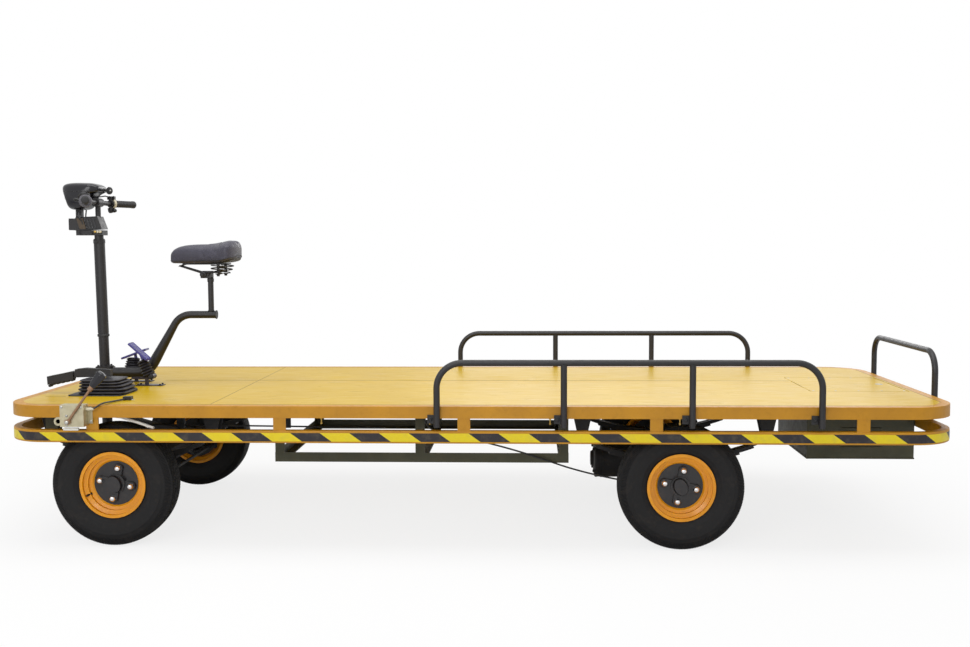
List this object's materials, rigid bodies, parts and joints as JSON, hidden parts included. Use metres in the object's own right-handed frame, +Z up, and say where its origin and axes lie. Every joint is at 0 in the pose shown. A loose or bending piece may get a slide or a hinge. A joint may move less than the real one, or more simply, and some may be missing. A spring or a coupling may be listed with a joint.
{
  "type": "electric platform cart",
  "caption": "Long flat electric platform cart with a wrap-round striped bumper bar, hand rails, steered front wheels, a steering post with handlebar and a driver's saddle.",
  "frame": {"origin": "on the floor under the middle of the load platform", "axes": "+X to the rear end, +Y to the cart's right side, +Z up"},
  "size_m": [3.8437, 1.4864, 1.5199],
  "materials": {
    "deck_yellow": "gloss paint",
    "frame_amber": "satin paint",
    "frame_dark": "satin paint",
    "olive_paint": "satin paint",
    "black_tube": "powder coat",
    "grip_rubber": "moulded",
    "pale_plastic": "moulded",
    "lever_metal": "satin paint",
    "cowl_plastic": "gloss",
    "lens_glass": "clear",
    "saddle_cover": "grained leatherette",
    "pedal_blue": "satin paint",
    "zinc_yellow": "zinc plate",
    "lever_bronze": "dull",
    "tyre_rubber": "matt",
    "rim_orange": "gloss paint",
    "disc_black": "gloss paint"
  },
  "bodies": {
    "chassis": {"battery_tray": "olive_paint", "brake_cables": "grip_rubber", "bumper_frame": "frame_amber", "chassis_rails": "frame_dark", "column_housing": "black_tube", "cross_members": "frame_dark", "deck_rim": "frame_amber", "drive_motor": "frame_dark", "driver_floor": "deck_yellow", "end_rail": "black_tube", "front_axle": "frame_dark", "gaiter": "grip_rubber", "leaf_springs": "frame_dark", "lever_box": "zinc_yellow", "lever_cable": "grip_rubber", "load_deck": "deck_yellow", "parking_brake_handle": "black_tube", "pedals": "pedal_blue", "rear_axle": "frame_dark", "rear_box": "olive_paint", "saddle": "saddle_cover", "seat_post": "black_tube", "seat_tube": "black_tube", "shift_lever": "lever_bronze", "side_rail_left": "black_tube", "side_rail_right": "black_tube", "spring_hangers": "frame_dark"},
    "hatch": {"hatch_lid": "deck_yellow"},
    "steering": {"steering_column": "black_tube", "head_bracket": "black_tube", "handlebar": "black_tube", "grips": "grip_rubber", "grip_collars": "pale_plastic", "brake_levers": "lever_metal", "headlamp_cowl": "cowl_plastic", "headlamp_lens": "lens_glass"},
    "steer_knuckle_left": {"knuckle_left": "frame_dark"},
    "steer_knuckle_right": {"knuckle_right": "frame_dark"},
    "track_rod": {"tie_rod": "frame_dark"},
    "drag_rod": {"drag_link": "frame_dark"},
    "wheel_front_left": {"tyre_front_left": "tyre_rubber", "rim_front_left": "rim_orange", "disc_front_left": "disc_black"},
    "wheel_front_right": {"tyre_front_right": "tyre_rubber", "rim_front_right": "rim_orange", "disc_front_right": "disc_black"},
    "wheel_rear_left": {"tyre_rear_left": "tyre_rubber", "rim_rear_left": "rim_orange", "disc_rear_left": "disc_black"},
    "wheel_rear_right": {"tyre_rear_right": "tyre_rubber", "rim_rear_right": "rim_orange", "disc_rear_right": "disc_black"}
  },
  "joints": [
    {"name": "steer_turn", "type": "hinge", "parent": "chassis", "child": "steering", "pos_m": [-1.7405, 0, 0.595], "axis": [-0.0157, 0, 0.9999], "range_deg": [-25, 25]},
    {"name": "knuckle_left_turn", "type": "hinge", "parent": "chassis", "child": "steer_knuckle_left", "pos_m": [-1.477, -0.466, 0.254], "axis": [0, 0, 1], "range_deg": [-25, 25]},
    {"name": "knuckle_right_turn", "type": "hinge", "parent": "chassis", "child": "steer_knuckle_right", "pos_m": [-1.477, 0.466, 0.254], "axis": [0, 0, 1], "range_deg": [-25, 25]},
    {"name": "track_rod_turn", "type": "hinge", "parent": "steer_knuckle_left", "child": "track_rod", "pos_m": [-1.377, -0.466, 0.226], "axis": [0, 0, 1], "range_deg": [-25, 25]},
    {"name": "drag_rod_turn", "type": "hinge", "parent": "steer_knuckle_left", "child": "drag_rod", "pos_m": [-1.577, -0.466, 0.226], "axis": [0, 0, 1], "range_deg": [-25, 25]},
    {"name": "hatch_turn", "type": "hinge", "parent": "chassis", "child": "hatch", "pos_m": [1.4347, 0, 0.5944], "axis": [0, -1, 0], "range_deg": [0, 100]},
    {"name": "wheel_front_left_spin", "type": "hinge", "parent": "steer_knuckle_left", "child": "wheel_front_left", "pos_m": [-1.477, -0.558, 0.254], "axis": [0, 1, 0], "continuous": true},
    {"name": "wheel_front_right_spin", "type": "hinge", "parent": "steer_knuckle_right", "child": "wheel_front_right", "pos_m": [-1.477, 0.558, 0.254], "axis": [0, 1, 0], "continuous": true},
    {"name": "wheel_rear_left_spin", "type": "hinge", "parent": "chassis", "child": "wheel_rear_left", "pos_m": [0.835, -0.558, 0.254], "axis": [0, 1, 0], "continuous": true},
    {"name": "wheel_rear_right_spin", "type": "hinge", "parent": "chassis", "child": "wheel_rear_right", "pos_m": [0.835, 0.558, 0.254], "axis": [0, 1, 0], "continuous": true}
  ],
  "couplings": [
    {"joint": "knuckle_left_turn", "follows": "steer_turn", "ratio": 1},
    {"joint": "knuckle_right_turn", "follows": "steer_turn", "ratio": 1},
    {"joint": "track_rod_turn", "follows": "steer_turn", "ratio": -1},
    {"joint": "drag_rod_turn", "follows": "steer_turn", "ratio": -1}
  ]
}
